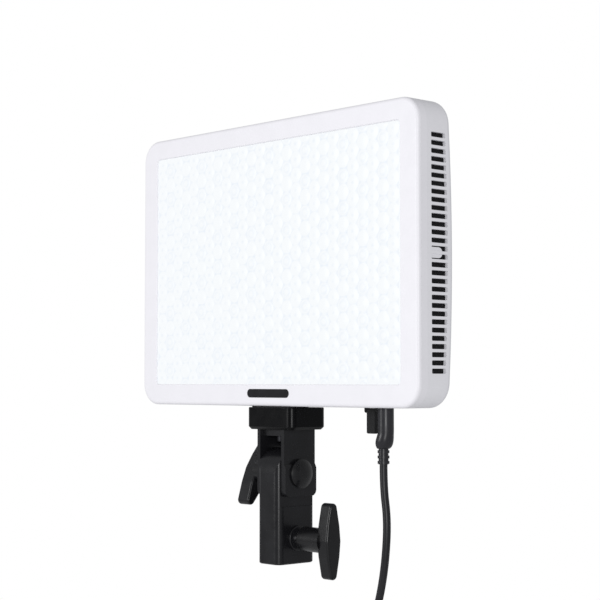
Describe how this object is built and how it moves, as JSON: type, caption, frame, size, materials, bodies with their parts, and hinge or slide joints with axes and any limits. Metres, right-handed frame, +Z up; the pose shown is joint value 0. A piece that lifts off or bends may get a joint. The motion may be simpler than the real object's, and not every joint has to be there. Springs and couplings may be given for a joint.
{
  "type": "led panel light",
  "caption": "Flat rectangular LED light panel with rear controls, on a tilting bracket that clamps to a light stand's spigot, with its power lead coiled and hanging.",
  "frame": {"origin": "centre of the stand socket's mouth, at the bottom of the bracket", "axes": "+Z up along the socket and the stand, the light shines towards -Y, the tilt axis runs along X"},
  "size_m": [0.264, 0.0463, 0.4237],
  "materials": {
    "back_button": "soft grey",
    "badge_bar": "dark print, blank",
    "board_ribbon": "flat cable",
    "board_screws": "zinc",
    "button_switches": "black",
    "cable_coil": "black jacket",
    "cable_tail": "black jacket",
    "cable_tie": "black hook-and-loop",
    "clamp_handle": "black",
    "clamp_screw": "zinc",
    "clamp_shoe": "turned",
    "control_board": "green laminate",
    "control_pod": "dark grey",
    "cover_screws": "black oxide",
    "dc_jack": "black",
    "dc_plug": "black",
    "dial_left": "ribbed black",
    "dial_right": "ribbed black",
    "display_module": "lcd",
    "display_window": "tinted acrylic",
    "driver_board": "green laminate",
    "driver_components": "moulded parts",
    "driver_screws": "zinc",
    "encoder_body_left": "moulded",
    "encoder_body_right": "moulded",
    "encoder_shaft_left": "turned",
    "encoder_shaft_right": "turned",
    "fan_frame": "black",
    "fan_rotor": "black",
    "fan_screws": "zinc",
    "friction_washers": "natural nylon",
    "front_bezel": "satin white",
    "heat_sink": "bare",
    "heat_sink_screws": "zinc",
    "inline_connector": "black",
    "led_board": "white solder resist on aluminium",
    "led_emitters": "phosphor",
    "lens_panel": "clear moulded lens sheet",
    "lock_handle": "black",
    "lock_nut": "turned",
    "lock_washer": "zinc",
    "menu_button": "soft grey",
    "mode_button": "soft grey",
    "mount_block": "black anodised look",
    "mount_pad": "soft black",
    "mount_screw": "black zinc",
    "pivot_bolt": "zinc",
    "pivot_cap": "black",
    "plug_strain_relief": "black",
    "port_cover": "soft black",
    "port_cover_hinge": "black",
    "power_button": "soft grey",
    "power_cable": "black jacket",
    "rear_cover": "fine matt white",
    "receiver": "satin black",
    "reflector_frame": "white",
    "threaded_insert": "turned",
    "tilt_arm": "satin black",
    "usb_port": "nickel",
    "vent_screens": "black dust mesh"
  },
  "bodies": {
    "receiver": {"receiver": "receiver"},
    "head": {"badge_bar": "badge_bar", "board_ribbon": "board_ribbon", "board_screws": "board_screws", "button_switches": "button_switches", "cable_coil": "cable_coil", "cable_tail": "cable_tail", "cable_tie": "cable_tie", "control_board": "control_board", "control_pod": "control_pod", "cover_screws": "cover_screws", "dc_jack": "dc_jack", "dc_plug": "dc_plug", "display_module": "display_module", "display_window": "display_window", "driver_board": "driver_board", "driver_components": "driver_components", "driver_screws": "driver_screws", "encoder_body_left": "encoder_body_left", "encoder_body_right": "encoder_body_right", "fan_frame": "fan_frame", "fan_screws": "fan_screws", "friction_washers": "friction_washers", "front_bezel": "front_bezel", "heat_sink": "heat_sink", "heat_sink_screws": "heat_sink_screws", "inline_connector": "inline_connector", "led_board": "led_board", "led_emitters": "led_emitters", "lens_panel": "lens_panel", "mount_block": "mount_block", "mount_pad": "mount_pad", "mount_screw": "mount_screw", "pivot_bolt": "pivot_bolt", "pivot_cap": "pivot_cap", "plug_strain_relief": "plug_strain_relief", "port_cover_hinge": "port_cover_hinge", "power_cable": "power_cable", "rear_cover": "rear_cover", "reflector_frame": "reflector_frame", "threaded_insert": "threaded_insert", "tilt_arm": "tilt_arm", "usb_port": "usb_port", "vent_screens": "vent_screens"},
    "lock_washer": {"lock_washer": "lock_washer"},
    "tilt_lock": {"lock_handle": "lock_handle", "lock_nut": "lock_nut"},
    "clamp_shoe": {"clamp_shoe": "clamp_shoe"},
    "clamp_knob": {"clamp_screw": "clamp_screw", "clamp_handle": "clamp_handle"},
    "dial_left": {"dial_left": "dial_left", "encoder_shaft_left": "encoder_shaft_left"},
    "dial_right": {"dial_right": "dial_right", "encoder_shaft_right": "encoder_shaft_right"},
    "power_button": {"power_button": "power_button"},
    "menu_button": {"menu_button": "menu_button"},
    "mode_button": {"mode_button": "mode_button"},
    "back_button": {"back_button": "back_button"},
    "fan_rotor": {"fan_rotor": "fan_rotor"},
    "port_cover": {"port_cover": "port_cover"}
  },
  "joints": [
    {"name": "head_tilt", "type": "hinge", "parent": "receiver", "child": "head", "pos_m": [0, 0, 0.0575], "axis": [1, 0, 0], "range_deg": [-90, 90]},
    {"name": "lock_washer_travel", "type": "slide", "parent": "head", "child": "lock_washer", "axis": [-1, 0, 0], "range_m": [0, 0.001]},
    {"name": "tilt_lock_turn", "type": "hinge", "parent": "lock_washer", "child": "tilt_lock", "pos_m": [0, 0, 0.0575], "axis": [-1, 0, 0], "range_deg": [0, 270]},
    {"name": "clamp_shoe_travel", "type": "slide", "parent": "receiver", "child": "clamp_shoe", "axis": [1, 0, 0], "range_m": [0, 0.0026]},
    {"name": "clamp_knob_turn", "type": "hinge", "parent": "clamp_shoe", "child": "clamp_knob", "pos_m": [0, 0, 0.0164], "axis": [1, 0, 0], "range_deg": [0, 720]},
    {"name": "dial_left_turn", "type": "hinge", "parent": "head", "child": "dial_left", "pos_m": [-0.038, 0.024, 0.1495], "axis": [0, 1, 0], "continuous": true},
    {"name": "dial_right_turn", "type": "hinge", "parent": "head", "child": "dial_right", "pos_m": [0.038, 0.024, 0.1495], "axis": [0, 1, 0], "continuous": true},
    {"name": "fan_spin", "type": "hinge", "parent": "head", "child": "fan_rotor", "pos_m": [0, 0, 0.1921], "axis": [0, 1, 0], "continuous": true},
    {"name": "port_cover_swing", "type": "hinge", "parent": "head", "child": "port_cover", "pos_m": [0.0778, 0.0005, 0.0986], "axis": [1, 0, 0], "range_deg": [-90, 0]},
    {"name": "power_button_press", "type": "slide", "parent": "head", "child": "power_button", "axis": [0, -1, 0], "range_m": [0, 0.0008], "stiffness_N_per_m": 900, "springref_m": -0.0008},
    {"name": "menu_button_press", "type": "slide", "parent": "head", "child": "menu_button", "axis": [0, -1, 0], "range_m": [0, 0.0008], "stiffness_N_per_m": 900, "springref_m": -0.0008},
    {"name": "mode_button_press", "type": "slide", "parent": "head", "child": "mode_button", "axis": [0, -1, 0], "range_m": [0, 0.0008], "stiffness_N_per_m": 900, "springref_m": -0.0008},
    {"name": "back_button_press", "type": "slide", "parent": "head", "child": "back_button", "axis": [0, -1, 0], "range_m": [0, 0.0008], "stiffness_N_per_m": 900, "springref_m": -0.0008}
  ],
  "couplings": [
    {"joint": "lock_washer_travel", "follows": "tilt_lock_turn", "m_per_rad": 0.00019894},
    {"joint": "clamp_shoe_travel", "follows": "clamp_knob_turn", "m_per_rad": 0.00019894}
  ]
}
